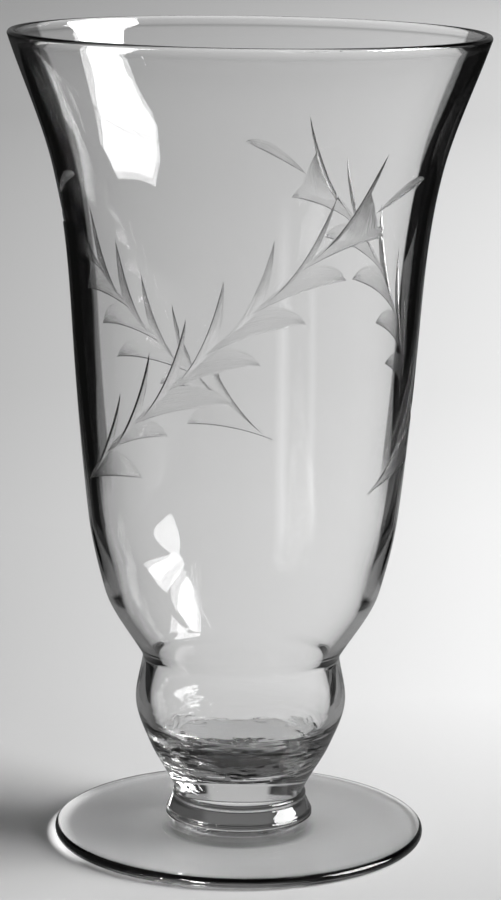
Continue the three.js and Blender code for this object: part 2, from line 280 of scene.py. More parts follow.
# %% Turn the foot
FOOT_EDGE_THICKNESS = 3.2
FOOT_EDGE_ROUND = 1.4
REST_WIDTH = 4
HOLLOW_HEIGHT = 2.8
HOLLOW_FLAT = 0.45
HOLLOW_SHOULDER = (0.72, 0.3)
foot_edge = FOOT_RADIUS - FOOT_EDGE_ROUND
foot_run = foot_edge - HEEL_RADIUS
foot_rise = COLLAR_BASE - FOOT_EDGE_THICKNESS
foot_top = [
    (foot_edge, FOOT_EDGE_THICKNESS),
    (foot_edge - foot_run / 3, FOOT_EDGE_THICKNESS + foot_rise / 6),
    (HEEL_RADIUS + foot_run / 3, FOOT_EDGE_THICKNESS + foot_rise / 2),
    (HEEL_RADIUS, COLLAR_BASE),
]
rest_inside = foot_edge - REST_WIDTH
hollow = [
    (0, HOLLOW_HEIGHT),
    (rest_inside * HOLLOW_FLAT, HOLLOW_HEIGHT),
    (rest_inside * HOLLOW_SHOULDER[0], HOLLOW_HEIGHT * HOLLOW_SHOULDER[1]),
    (rest_inside, 0),
]
upper_edge = FOOT_EDGE_THICKNESS - FOOT_EDGE_ROUND
foot = turned("vase_foot", [
    *curve_points(hollow, 16),
    *arc((foot_edge, FOOT_EDGE_ROUND), FOOT_EDGE_ROUND, FOOT_EDGE_ROUND, -90, 0, 8),
    *arc((foot_edge, upper_edge), FOOT_EDGE_ROUND, FOOT_EDGE_ROUND, 0, 90, 8),
    *curve_points(foot_top, 12),
    Vector((0, COLLAR_BASE)),
])

# %% [markdown]
# ## The leaf sprays
# The cutter holds the bowl against a spinning stone wheel. Each leaf is one touch of the wheel: a steep
# wall at one edge, where the wheel's corner bites, and a long shallow slope that runs out to nothing at
# the other edge. The steep wall is what shows as a dark line. Places on the bell are given as azimuth in
# degrees, 0 at the front, and height in millimetres. A spray climbs to the right, with an upright blade
# and a spreading leaf at each step of its stem.

# %% Spray sizes
SPRAY_COUNT = 3
SPRAY_START = -71
SPRAY_START_HEIGHT = 117.3
SPRAY_START_CLIMB = 0.58
SPRAY_TURN = 91
SPRAY_RISE = 73.9
SPRAY_END_CLIMB = 0.86
FIRST_PAIR_STEP = 21
BLADE_TURNS = [26, 18, 17, 15, 16, 20, 21]
BLADE_RISE = 31
BLADE_BEND = 0.34
BLADE_SWELL = 2
LEAF_TURNS = [34, 24, 32, 27, 27, 26, 25]
LEAF_RISE = 5.5
LEAF_BEND = 0.8
LEAF_SWELL = 7
LEAF_SET_BACK = 0.36
END_BLADE_TURN = 10
END_BLADE_RISE = 14
END_BLADE_SPREAD = 17
TIP_LEAF_GAP = 7
TIP_LEAF_LIFT = 0.7
TIP_LEAF_TURN = 20
TIP_LEAF_RISE = 9
TIP_LEAF_SWELL = 10
TIP_LEAF_BEND = 0
CUT_OVERLAP = 0.6
BLADE_DEPTH = 0.85
LEAF_DEPTH = 0.35


# %% Places on the bell
def bell_at(height):
    """The bell's outside radius and lean at a height."""
    spans = list(zip(BELL_STATIONS, BELL_STATIONS[1:]))
    start, end = next((s for s in spans if height <= s[1][1]), spans[-1])
    controls = station_curve(start, end)
    share = (height - start[1]) / (end[1] - start[1])
    nudge = 1e-3
    a, b = curve_point(controls, share - nudge), curve_point(controls, share + nudge)
    return curve_point(controls, share).x, (b.x - a.x) / (b.y - a.y)


def on_bell(place, stand_off):
    """A point in metres at (azimuth, height), stood off along the bell's outward normal."""
    radius, lean = bell_at(place.y)
    slope = math.atan(lean)
    azimuth = math.radians(place.x)
    reach = radius + stand_off * math.cos(slope)
    level = place.y - stand_off * math.sin(slope)
    return Vector((reach * math.sin(azimuth), -reach * math.cos(azimuth), level)) * MM


print("bell radius where a spray starts, mm:", round(bell_at(SPRAY_START_HEIGHT)[0], 1))

# %% [markdown]
# ## Laying out a spray
# On the bench the cutter first marks the stem with a brush, then places the leaves along it by eye. Here
# the stem is one curve, its nodes are even steps along it, and each leaf is two edges that meet at its
# tip: the sharp edge, where the wall will be, and the far edge, where the slope runs out.


# %% Spray layout
def stem_nodes(start):
    """Where each pair of leaves leaves the stem, and one more place for the tip."""
    third = SPRAY_TURN / 3
    top = SPRAY_START_HEIGHT + SPRAY_RISE
    stem = [
        (start, SPRAY_START_HEIGHT),
        (start + third, SPRAY_START_HEIGHT + third * SPRAY_START_CLIMB),
        (start + 2 * third, top - third * SPRAY_END_CLIMB),
        (start + SPRAY_TURN, top),
    ]
    pairs = len(BLADE_TURNS)
    step = (SPRAY_TURN - FIRST_PAIR_STEP) / (pairs - 2)
    nodes = [curve_point(stem, 0)]
    nodes += [curve_point(stem, (FIRST_PAIR_STEP + i * step) / SPRAY_TURN) for i in range(pairs - 1)]
    nodes.append(nodes[-1] + Vector((step, step * SPRAY_END_CLIMB)))
    return nodes


def bent_edge(start, end, pull):
    """Control points of an edge whose middle is pulled off the straight line."""
    return [start, start.lerp(end, 0.5) + Vector(pull), end]


def blade_edges(root, following, turn, rise):
    """An upright blade: its sharp edge curves up the stem, its far edge drops to the next pair."""
    tip = root + Vector((turn, rise))
    foot_end = root + Vector((0, -CUT_OVERLAP))
    heel = following + Vector((CUT_OVERLAP, -CUT_OVERLAP))
    sharp = bent_edge(foot_end, tip, (BLADE_BEND * turn / 2, -BLADE_BEND * rise / 2))
    return sharp, bent_edge(heel, tip, (BLADE_SWELL, 0))


def leaf_edges(root, set_back, following, turn, rise, swell, bend=LEAF_BEND):
    """A spreading leaf: its sharp edge runs out below to a level tip, its far edge is full above."""
    tip = root + Vector((turn, rise))
    foot_end = root + LEAF_SET_BACK * set_back + Vector((-CUT_OVERLAP, 0))
    heel = following + Vector((CUT_OVERLAP, 2 * CUT_OVERLAP))
    sharp = bent_edge(foot_end, tip, (0, bend * (tip.y - foot_end.y) / 2))
    return sharp, bent_edge(heel, tip, (swell / 2, swell))


def tip_leaf_edges(node):
    """The last leaf of a spray: it stands alone past the end of the stem."""
    root = node + Vector((TIP_LEAF_GAP, TIP_LEAF_LIFT))
    still = Vector((0, 0))
    return leaf_edges(root, still, root, TIP_LEAF_TURN, TIP_LEAF_RISE, TIP_LEAF_SWELL, TIP_LEAF_BEND)


def spray_edges(start):
    """The two edges and the depth of every cut in one spray."""
    nodes = stem_nodes(start)
    edges = []
    for i, (blade_turn, leaf_turn) in enumerate(zip(BLADE_TURNS, LEAF_TURNS)):
        here, following = nodes[i], nodes[i + 1]
        edges.append((*blade_edges(here, following, blade_turn, BLADE_RISE), BLADE_DEPTH))
        set_back = nodes[max(i - 1, 0)] - here
        leaf = leaf_edges(here, set_back, following, leaf_turn, LEAF_RISE, LEAF_SWELL)
        edges.append((*leaf, LEAF_DEPTH))
    end_root = nodes[-2].lerp(nodes[-1], 0.5)
    end_heel = end_root + Vector((END_BLADE_SPREAD, 0))
    edges.append((*blade_edges(end_root, end_heel, END_BLADE_TURN, END_BLADE_RISE), BLADE_DEPTH))
    edges.append((*tip_leaf_edges(nodes[-1]), LEAF_DEPTH))
    return edges


print(len(spray_edges(SPRAY_START)), "cuts in a spray")

# %% [markdown]
# ## The wheel's bite
# Each cut starts as a block that is subdivided along and across. Every vertex of the block then has an
# address: how far along the leaf, how far across it, and whether it is on the biting side. The address
# puts it on the bell. The first quarter of the rows across is kept for the steep wall, which is only
# three quarters of a millimetre wide. The block's own UV map is set to the same address, so that the
# marks of the wheel can run along each leaf afterwards.

# %% Cut section
CUT_WALL = 0.75
WALL_ROWS = 0.25
WIDEST_WALL = 0.5
EDGE_PROUD = 0.02
SLOPE_HOLLOW = 1.6
CUT_RUN_OUT = 0.05
CUT_CLEARANCE = 0.8
ROOT_DEPTH = 0.35
ROOT_GROWTH = 3
TIP_FADE = 12
EXTRA_DEPTH = 0.03
TIP_SHARE = 0.015


def bite(across, depth, wall_share):
    """How far the wheel stands off the wall: steep down to its depth, then a long hollow slope out."""
    if across <= wall_share:
        return -depth * across / wall_share + EDGE_PROUD
    rest = (across - wall_share) / (1 - wall_share)
    return -depth * (1 - rest) ** SLOPE_HOLLOW + CUT_RUN_OUT * rest


def place_across(row, wall_share):
    """Where a row of the block lies across the leaf: the first rows are the steep wall's."""
    if row <= WALL_ROWS:
        return row / WALL_ROWS * wall_share
    return wall_share + (row - WALL_ROWS) / (1 - WALL_ROWS) * (1 - wall_share)


def cut_place(address, sharp, far, depth):
    """A point on or over the bell from the address (along, across, out) in one cut."""
    along, row, out = address
    edge = curve_point(sharp, along)
    opposite = curve_point(far, TIP_SHARE + (1 - 2 * TIP_SHARE) * along)
    radius, _ = bell_at(edge.y)
    spread = Vector(((opposite.x - edge.x) * math.radians(radius), opposite.y - edge.y)).length
    wall_share = min(WIDEST_WALL, CUT_WALL / spread)
    across = place_across(row, wall_share)
    place = edge.lerp(opposite, across)
    if out > 0.5:
        return on_bell(place, CUT_CLEARANCE)
    fade = min(1, ROOT_DEPTH + ROOT_GROWTH * along) * (1 - along ** TIP_FADE)
    return on_bell(place, bite(across, depth * fade + EXTRA_DEPTH, wall_share))


print("a blade is", BLADE_DEPTH, "mm deep at its wall and a leaf", LEAF_DEPTH)

# %% Cutting blocks
CUTS_ALONG = 15
CUTS_ACROSS = 7


def subdivide_along(block, axis, cuts):
    """Divides every edge of a block that runs along one axis."""
    bpy.ops.object.mode_set(mode="EDIT")
    bpy.ops.mesh.select_mode(type="EDGE")
    mesh = bmesh.from_edit_mesh(block.data)
    for edge in mesh.edges:
        run = edge.verts[1].co - edge.verts[0].co
        edge.select_set(abs(run[axis]) > 0.5 * run.length)
    bmesh.update_edit_mesh(block.data)
    bpy.ops.mesh.subdivide(number_cuts=cuts)
    bpy.ops.object.mode_set(mode="OBJECT")


def cutting_block(name, sharp, far, depth):
    """The closed block that one touch of the wheel takes away."""
    bpy.ops.object.select_all(action="DESELECT")
    bpy.ops.mesh.primitive_cube_add(size=1, location=(0.5, 0.5, 0.5))
    block = bpy.context.active_object
    block.name = name
    bpy.ops.object.transform_apply(location=True, rotation=False, scale=False)
    for axis, cuts in ((0, CUTS_ALONG), (1, CUTS_ACROSS)):
        subdivide_along(block, axis, cuts)
    marks = block.data.uv_layers[0]
    marks.name = "wheel_marks"
    for loop in block.data.loops:
        address = block.data.vertices[loop.vertex_index].co
        marks.data[loop.index].uv = (address.x, address.y)
    for vertex in block.data.vertices:
        vertex.co = cut_place(vertex.co, sharp, far, depth)
    bpy.ops.object.mode_set(mode="EDIT")
    bpy.ops.mesh.select_all(action="SELECT")
    bpy.ops.mesh.normals_make_consistent(inside=False)
    bpy.ops.object.mode_set(mode="OBJECT")
    return block


# %% [markdown]
# ## Glass
# Clear glass is a plain dielectric. What makes it look hand made is how slightly uneven it is: the wall
# undulates by a few hundredths of a millimetre, and a few seeds and specks sit in it. One node group
# gives that height to all three pieces, so that they look like one melt.


# %% Node helpers
def new_material(name):
    """An empty node material with its node tree and its Principled shader."""
    material = bpy.data.materials.new(name)
    material.use_nodes = True
    tree = material.node_tree
    return material, tree, tree.nodes["Principled BSDF"]


def add_node(tree, kind, **settings):
    """Adds a node, its properties set from words and its inputs from a dictionary."""
    node = tree.nodes.new(kind)
    for key, value in settings.pop("inputs", {}).items():
        node.inputs[key].default_value = value
    for key, value in settings.items():
        setattr(node, key, value)
    return node


def math_node(tree, operation, first, second=None):
    """A Math node fed by sockets or by plain numbers."""
    node = add_node(tree, "ShaderNodeMath", operation=operation)
    for place, value in enumerate((first, second)):
        if value is None:
            continue
        if isinstance(value, (int, float)):
            node.inputs[place].default_value = value
        else:
            tree.links.new(value, node.inputs[place])
    return node.outputs["Value"]


def product(tree, first, *others):
    """All the values multiplied together."""
    for other in others:
        first = math_node(tree, "MULTIPLY", first, other)
    return first


def ramp_node(tree, value, low, high, start=0.0, end=1.0):
    """A Map Range node that takes low to start and high to end."""
    node = add_node(tree, "ShaderNodeMapRange")
    for name, number in (("From Min", low), ("From Max", high), ("To Min", start), ("To Max", end)):
        node.inputs[name].default_value = number
    tree.links.new(value, node.inputs["Value"])
    return node.outputs["Result"]


def blend(tree, first, second, share):
    """The first value, moved towards the second by a share."""
    gap = math_node(tree, "SUBTRACT", second, first)
    return math_node(tree, "ADD", first, math_node(tree, "MULTIPLY", gap, share))


def object_place(tree):
    """The X, Y and Z sockets of the place in the piece's own coordinates."""
    place = add_node(tree, "ShaderNodeTexCoord")
    split = add_node(tree, "ShaderNodeSeparateXYZ")
    tree.links.new(place.outputs["Object"], split.inputs["Vector"])
    return split.outputs["X"], split.outputs["Y"], split.outputs["Z"]


def off_axis(tree, x, y):
    """How far a place is from the vase's axis."""
    squares = math_node(tree, "ADD", math_node(tree, "MULTIPLY", x, x), math_node(tree, "MULTIPLY", y, y))
    return math_node(tree, "SQRT", squares)


# %% Hand-blown surface group
WAVE_STRETCH = 0.35
SPECK_SCALE = 160
SPECK_SIZE = (0.09, 0.05)
SPECK_HEIGHT = 0.04
blown = bpy.data.node_groups.new("hand_blown_surface", "ShaderNodeTree")
blown.interface.new_socket("Wave Size", in_out="INPUT", socket_type="NodeSocketFloat")
blown.interface.new_socket("Speck Amount", in_out="INPUT", socket_type="NodeSocketFloat")
blown.interface.new_socket("Height", in_out="OUTPUT", socket_type="NodeSocketFloat")
group_in = blown.nodes.new("NodeGroupInput")
group_out = blown.nodes.new("NodeGroupOutput")
coords = add_node(blown, "ShaderNodeTexCoord")
tall = add_node(blown, "ShaderNodeMapping", inputs={"Scale": (1, 1, WAVE_STRETCH)})
waves = add_node(blown, "ShaderNodeTexNoise", inputs={"Detail": 1.0, "Roughness": 0.4})
specks = add_node(blown, "ShaderNodeTexVoronoi", inputs={"Scale": SPECK_SCALE})
blown.links.new(coords.outputs["Object"], tall.inputs["Vector"])
blown.links.new(tall.outputs["Vector"], waves.inputs["Vector"])
blown.links.new(group_in.outputs["Wave Size"], waves.inputs["Scale"])
blown.links.new(coords.outputs["Object"], specks.inputs["Vector"])
speck_share = ramp_node(blown, specks.outputs["Distance"], *SPECK_SIZE)
speck_share = math_node(blown, "MULTIPLY", speck_share, group_in.outputs["Speck Amount"])
speck_height = math_node(blown, "MULTIPLY", speck_share, SPECK_HEIGHT)
blown_height = math_node(blown, "ADD", speck_height, waves.outputs["Fac"])
blown.links.new(blown_height, group_out.inputs["Height"])
print("hand-blown surface group:", len(blown.nodes), "nodes")

# %% Clear glass
GLASS_IOR = 1.51
BOWL_CLEAR = 0.97
FOOT_CLEAR = 1.0
WAVE_HEIGHT = 0.4


def clear_glass(name, wave_size, wave_strength, speck_amount=0, clear=BOWL_CLEAR):
    """Polished clear glass with the slight unevenness of hot work."""
    material, tree, shader = new_material(name)
    shader.inputs["Base Color"].default_value = (clear, clear, clear, 1)
    shader.inputs["Roughness"].default_value = 0.0
    shader.inputs["IOR"].default_value = GLASS_IOR
    shader.inputs["Transmission Weight"].default_value = 1.0
    surface = add_node(tree, "ShaderNodeGroup", node_tree=blown)
    surface.inputs["Wave Size"].default_value = wave_size
    surface.inputs["Speck Amount"].default_value = speck_amount
    bump = add_node(tree, "ShaderNodeBump", inputs={"Strength": wave_strength, "Distance": WAVE_HEIGHT * MM})
    tree.links.new(surface.outputs["Height"], bump.inputs["Height"])
    tree.links.new(bump.outputs["Normal"], shader.inputs["Normal"])
    return material


bowl_glass = clear_glass("blown_clear_glass", wave_size=30, wave_strength=0.05, speck_amount=1)
collar_glass = clear_glass("pressed_clear_glass", wave_size=60, wave_strength=0.03)
foot_glass = clear_glass("cast_clear_glass", wave_size=25, wave_strength=0.03, clear=FOOT_CLEAR)
print("three glasses, of index", GLASS_IOR)

# %% [markdown]
# ## Painted dark edges
# A glass wall that is seen edge on shows a black band, where it bends or mirrors the view away to a dark
# part of the room. That room isn't known, so painted shade stands in for it: the bell's base colour is
# darkened past the angle at which the bands begin. Painting it by angle was chosen over painting a fixed
# band, because it follows the edge from any side. Towards the vase's right side the band starts a little
# later.

# %% Paint shade on the bell's edges
EDGE_ON = (0.55, 0.575)
EDGE_PAINTED_SHADE = 0.82
EDGE_FROM = (106, 121)
RIGHT_EDGE_LATER = 0.05
SIDE_SPAN = 30


def paint_dark_edges(material):
    """Paints shade into the bell's base colour where it is seen edge on."""
    tree = material.node_tree
    edge_on = add_node(tree, "ShaderNodeLayerWeight", inputs={"Blend": 0.5})
    x, _, z = object_place(tree)
    bell = ramp_node(tree, z, EDGE_FROM[0] * MM, EDGE_FROM[1] * MM)
    later = ramp_node(tree, x, -SIDE_SPAN * MM, SIDE_SPAN * MM, 0, RIGHT_EDGE_LATER)
    edge = math_node(tree, "SUBTRACT", edge_on.outputs["Facing"], later)
    # Painted shade: the glass colour is darkened where the bell is seen edge on.
    painted_edge_shade = math_node(tree, "MULTIPLY", ramp_node(tree, edge, *EDGE_ON, 0, EDGE_PAINTED_SHADE), bell)
    clear = math_node(tree, "SUBTRACT", BOWL_CLEAR, painted_edge_shade)
    tree.links.new(clear, tree.nodes["Principled BSDF"].inputs["Base Color"])


paint_dark_edges(bowl_glass)
print("edges darken above", EDGE_FROM[0], "mm")

# %% [markdown]
# ## Ripples in the floor of the bowl
# While the gaffer spins the gather, the last hot glass pools in the bottom of the bowl and chills in low
# rings. Through the bulb they look like level strokes, dark and pale. They have no edge of their own, so
# a bump is enough: noise pressed flat in height, and masked to the inside of the cavity's floor.

# %% Ripple the cavity's floor
POOL_RADIUS = 29.6
POOL_EDGE = 0.5
POOL_FADE = (43, 34)
POOL_BASE = (CAVITY_FLOOR - 2, CAVITY_FLOOR - 1)
POOL_SCALE = 70
POOL_FLATNESS = 5
POOL_HEIGHT = 0.7


def pooled_ripples(material):
    """Adds ripples to the floor of the bowl."""
    tree = material.node_tree
    shader = tree.nodes["Principled BSDF"]
    waves = shader.inputs["Normal"].links[0].from_socket
    place = add_node(tree, "ShaderNodeTexCoord")
    flat = add_node(tree, "ShaderNodeMapping", inputs={"Scale": (1, 1, POOL_FLATNESS)})
    noise = add_node(tree, "ShaderNodeTexNoise", inputs={"Scale": POOL_SCALE, "Detail": 2.0})
    tree.links.new(place.outputs["Object"], flat.inputs["Vector"])
    tree.links.new(flat.outputs["Vector"], noise.inputs["Vector"])
    x, y, z = object_place(tree)
    low = ramp_node(tree, z, *[level * MM for level in POOL_FADE])
    above_base = ramp_node(tree, z, *[level * MM for level in POOL_BASE])
    inside = ramp_node(tree, off_axis(tree, x, y), POOL_RADIUS * MM, (POOL_RADIUS - POOL_EDGE) * MM)
    height = product(tree, noise.outputs["Fac"], low, inside, above_base)
    bump = add_node(tree, "ShaderNodeBump", inputs={"Strength": 1.0, "Distance": POOL_HEIGHT * MM})
    tree.links.new(height, bump.inputs["Height"])
    tree.links.new(waves, bump.inputs["Normal"])
    tree.links.new(bump.outputs["Normal"], shader.inputs["Normal"])


pooled_ripples(bowl_glass)
print("ripples up to", POOL_HEIGHT, "mm high, below", POOL_FADE[0], "mm")

# %% [markdown]
# ## Cut glass
# The stone leaves the cut grey: finely frosted, with furrows that run along each leaf. The furrows come
# from the map that the cutting blocks carry, stretched along the leaf and fine across it.

# %% Cut leaf material
CUT_CLEAR = 0.93
CUT_SATIN = 0.25
FURROW_STRETCH = (1.5, 40, 1)
FURROW_STRENGTH = 0.55
FURROW_DEPTH = 0.3
cut_glass, cut_tree, cut_shader = new_material("wheel_cut_glass")
cut_shader.inputs["Base Color"].default_value = (CUT_CLEAR, CUT_CLEAR, CUT_CLEAR, 1)
cut_shader.inputs["Roughness"].default_value = CUT_SATIN
cut_shader.inputs["IOR"].default_value = GLASS_IOR
cut_shader.inputs["Transmission Weight"].default_value = 1.0
marks_map = add_node(cut_tree, "ShaderNodeUVMap", uv_map="wheel_marks")
stretch = add_node(cut_tree, "ShaderNodeMapping", inputs={"Scale": FURROW_STRETCH})
furrows = add_node(cut_tree, "ShaderNodeTexNoise", inputs={"Scale": 1.0, "Detail": 2.0})
furrow_bump = add_node(cut_tree, "ShaderNodeBump")
furrow_bump.inputs["Strength"].default_value = FURROW_STRENGTH
furrow_bump.inputs["Distance"].default_value = FURROW_DEPTH * MM
cut_tree.links.new(marks_map.outputs["UV"], stretch.inputs["Vector"])
cut_tree.links.new(stretch.outputs["Vector"], furrows.inputs["Vector"])
cut_tree.links.new(furrows.outputs["Fac"], furrow_bump.inputs["Height"])
cut_tree.links.new(furrow_bump.outputs["Normal"], cut_shader.inputs["Normal"])
print("cut glass:", len(cut_tree.nodes), "nodes")

# %% [markdown]
# ## Fused joints
# Where two pieces of hot glass are fused there is no surface left, and light passes from one to the
# other without bending. The three meshes stay closed, so the faces where they meet get a material that
# isn't there: its alpha is 0. The top of the foot runs on past the collar, and only the flat disc under
# the collar is at the height that is looked for.

# %% Fuse the joints
LEVEL_ENOUGH = 0.02
FLAT_ENOUGH = 0.99
fused, _, fused_shader = new_material("fused_joint")
fused_shader.inputs["Base Color"].default_value = (1, 1, 1, 1)
fused_shader.inputs["Alpha"].default_value = 0.0


def fuse(piece, heights):
    """Gives the flat faces at these heights the fused joint's material."""
    slot = len(piece.data.materials)
    piece.data.materials.append(fused)
    found = 0
    for face in piece.data.polygons:
        level = any(abs(face.center.z / MM - h) < LEVEL_ENOUGH for h in heights)
        if level and abs(face.normal.z) > FLAT_ENOUGH:
            face.material_index = slot
            found += 1
    print(piece.name, "has", found, "fused faces")


for piece, glass, joints in (
    (bowl, bowl_glass, [NECK_HEIGHT]),
    (collar, collar_glass, [COLLAR_BASE, NECK_HEIGHT]),
    (foot, foot_glass, [COLLAR_BASE]),
):
    piece.data.materials.append(glass)
    piece.data.uv_layers.new(name="wheel_marks")
    fuse(piece, joints)

# %% [markdown]
# ## Cutting
# The cutter goes round the bowl spray by spray. Each block is taken away from the bowl and leaves its own
# material and map on the new faces, so the frosted look stays exactly inside the cut.

# %% Cut the leaves
blocks = []
for number in range(SPRAY_COUNT):
    start = SPRAY_START + number * 360 / SPRAY_COUNT
    for sharp, far, depth in spray_edges(start):
        block = cutting_block(f"cut_{number}_{len(blocks)}", sharp, far, depth)
        block.data.materials.append(cut_glass)
        blocks.append(block)
for block in blocks:
    select_only(bowl)
    cut = bowl.modifiers.new("wheel_cut", "BOOLEAN")
    cut.object = block
    cut.operation = "DIFFERENCE"
    cut.solver = "MANIFOLD"
    cut.material_mode = "TRANSFER"
    bpy.ops.object.modifier_apply(modifier=cut.name)
    bpy.data.objects.remove(block)
print("bowl after", len(blocks), "cuts:", len(bowl.data.polygons), "faces")

# %% [markdown]
# ## Smooth and sharp
# The turned surfaces are smooth, with crisp edges only where the cut leaves begin. Marking the edge
# between two materials as sharp keeps the polished wall true right up to the cut.

# %% Smooth shading
SHARP_PAST = 40


def smooth(piece):
    """Smooth shading with edges sharp past an angle and wherever the material changes."""
    select_only(piece)
    bpy.ops.object.shade_smooth_by_angle(angle=math.radians(SHARP_PAST), keep_sharp_edges=True)
    mesh = bmesh.new()
    mesh.from_mesh(piece.data)
    for edge in mesh.edges:
        if len({face.material_index for face in edge.link_faces}) > 1:
            edge.smooth = False
    mesh.to_mesh(piece.data)
    mesh.free()


for piece, node in ((bowl, "bowl"), (collar, "collar"), (foot, "foot")):
    smooth(piece)
    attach(piece, "root")
    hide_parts(node)
    print(piece.name, "stands for", node)

# %% [markdown]
# ## Camera
# The camera stands a little under a metre away and looks down about eleven degrees, as the photograph
# was taken. It leans by a little less than one degree.

# %% Camera
CAMERA_PLACE = Vector((0, -971.2, 319.7)) * MM
CAMERA_PITCH = 11.398
CAMERA_ROLL = 0.85
CAMERA_YAW = 0.119
FOCAL_PIXELS = 3172
FRAME_HEIGHT = 900
camera_data = bpy.data.cameras.new("camera")
camera_data.sensor_width = 36
camera_data.lens = camera_data.sensor_width * FOCAL_PIXELS / FRAME_HEIGHT
camera = bpy.data.objects.new("camera", camera_data)
bpy.context.scene.collection.objects.link(camera)
aim = (
    Matrix.Rotation(math.radians(-CAMERA_YAW), 4, "Z")
    @ Matrix.Rotation(math.radians(90 - CAMERA_PITCH), 4, "X")
    @ Matrix.Rotation(math.radians(CAMERA_ROLL), 4, "Z")
)
camera.matrix_world = Matrix.Translation(CAMERA_PLACE) @ aim
bpy.context.scene.camera = camera
print("lens", round(camera_data.lens, 1), "mm")

# %% [markdown]
# ## Floor
# Glass is often photographed on a pale sheet with dark beyond it, which draws its edges in black.
# Here the floor is pale for the eye and for the light, and only a ray that comes through the glass sees
# where the sheet ends. The next cells build the floor's colour one effect at a time.

# %% Lay the floor
FLOOR_SIZE = 20
FLOOR_DROP = 0.3
PAPER_ROUGHNESS = 0.9
bpy.ops.object.select_all(action="DESELECT")
bpy.ops.mesh.primitive_plane_add(size=FLOOR_SIZE, location=(0, 0, -FLOOR_DROP * MM))
floor = bpy.context.active_object
floor.name = "floor"
floor_paper, floor_tree, floor_shader = new_material("pale_floor")
floor_shader.inputs["Roughness"].default_value = PAPER_ROUGHNESS
floor_shader.inputs["Specular IOR Level"].default_value = 0.0
floor.data.materials.append(floor_paper)
floor_x, floor_y, _ = object_place(floor_tree)
print("floor", FLOOR_SIZE, "m wide,", FLOOR_DROP, "mm under the foot")

# %% [markdown]
# ## What a ray has been through
# Light Path tells how a ray came to the floor. A ray that was bent by the glass counts as a glossy ray,
# and one that was mirrored by it has a glossy depth too. In the photograph the mirrored parts are darker.
# What they mirror isn't known, so a painted dark reflection stands in for it: mirrored rays see a darker
# studio. Both masks stop at the first diffuse bounce: the light that the floor gives to the scene isn't
# changed.

# %% Light path masks
MIRRORED = 0.3


def before_bounce(tree, path):
    """1 for a ray that hasn't met a dull surface yet."""
    return math_node(tree, "LESS_THAN", path.outputs["Diffuse Depth"], 0.5)


def seen_through_glass(tree):
    """1 for a ray that the glass bent or mirrored on its way to the eye."""
    path = add_node(tree, "ShaderNodeLightPath")
    return math_node(tree, "MULTIPLY", path.outputs["Is Glossy Ray"], before_bounce(tree, path))


def mirrored_tone(tree):
    """How pale the studio is painted once a ray has been mirrored in the glass, 1 where it hasn't."""
    path = add_node(tree, "ShaderNodeLightPath")
    mirrored = math_node(tree, "GREATER_THAN", path.outputs["Glossy Depth"], 0.5)
    mirrored = math_node(tree, "MULTIPLY", mirrored, before_bounce(tree, path))
    return ramp_node(tree, mirrored, 0, 1, 1, MIRRORED)


through = seen_through_glass(floor_tree)
floor_mirrored = mirrored_tone(floor_tree)
print("mirrored rays see", MIRRORED, "of the studio")

# %% [markdown]
# ## The end of the sheet
# The sheet runs away behind the vase, wider in the distance, and the dark lies behind and to either side
# of it. There is no dark in front or close beside the vase, where the room is lit. A second, greyer sheet
# lies to the right. All lengths on the floor are in metres, as a studio is measured.

# %% Dark behind the sheet
SHEET_NEAR_WIDTH = 0.145
SHEET_FAR_WIDTH = 0.2
SHEET_WIDENS = (0.32, 0.42)
SHEET_SPREADS = (0.7, 4.7)
SHEET_SPREAD = 0.6
SHEET_SOFTNESS = 0.012
BEHIND_SLOPE = 0.5
SECOND_SHEET = (0.275, 0.36)
SECOND_SHEET_END = 1.08
SECOND_SHEET_DARK = 0.35
LEFT_CORNER = (1.5, 1.6)
LEFT_CORNER_DARK = 0.75


def beyond_sheet(tree, x, y):
    """1 on the dark floor behind the vase and beside its sheet."""
    off_x = math_node(tree, "ABSOLUTE", x)
    width = ramp_node(tree, y, *SHEET_WIDENS, SHEET_NEAR_WIDTH, SHEET_FAR_WIDTH)
    width = math_node(tree, "ADD", width, ramp_node(tree, y, *SHEET_SPREADS, 0, SHEET_SPREAD))
    off_sheet = math_node(tree, "SUBTRACT", off_x, width)
    behind = math_node(tree, "SUBTRACT", y, math_node(tree, "MULTIPLY", off_x, BEHIND_SLOPE))
    return ramp_node(tree, math_node(tree, "MINIMUM", off_sheet, behind), 0, SHEET_SOFTNESS)


def off_second_sheet(tree, x, y):
    """1 off the second sheet, and its own darkness on it."""
    middle = (SECOND_SHEET[0] + SECOND_SHEET[1]) / 2
    half = (SECOND_SHEET[1] - SECOND_SHEET[0]) / 2
    off = math_node(tree, "ABSOLUTE", math_node(tree, "SUBTRACT", x, middle))
    beside = ramp_node(tree, off, half, half + SHEET_SOFTNESS, SECOND_SHEET_DARK, 1)
    past = ramp_node(tree, y, SECOND_SHEET_END, SECOND_SHEET_END + SHEET_SOFTNESS)
    return math_node(tree, "MAXIMUM", beside, past)


left_far = math_node(floor_tree, "SUBTRACT", floor_y, floor_x)
left_far = ramp_node(floor_tree, left_far, *LEFT_CORNER, 1, LEFT_CORNER_DARK)
sheets_end = beyond_sheet(floor_tree, floor_x, floor_y)
second_end = off_second_sheet(floor_tree, floor_x, floor_y)
shade = product(floor_tree, sheets_end, second_end, left_far, through)
print("the sheet is", 2 * SHEET_NEAR_WIDTH, "m wide at the vase,", 2 * SHEET_FAR_WIDTH, "m behind it")
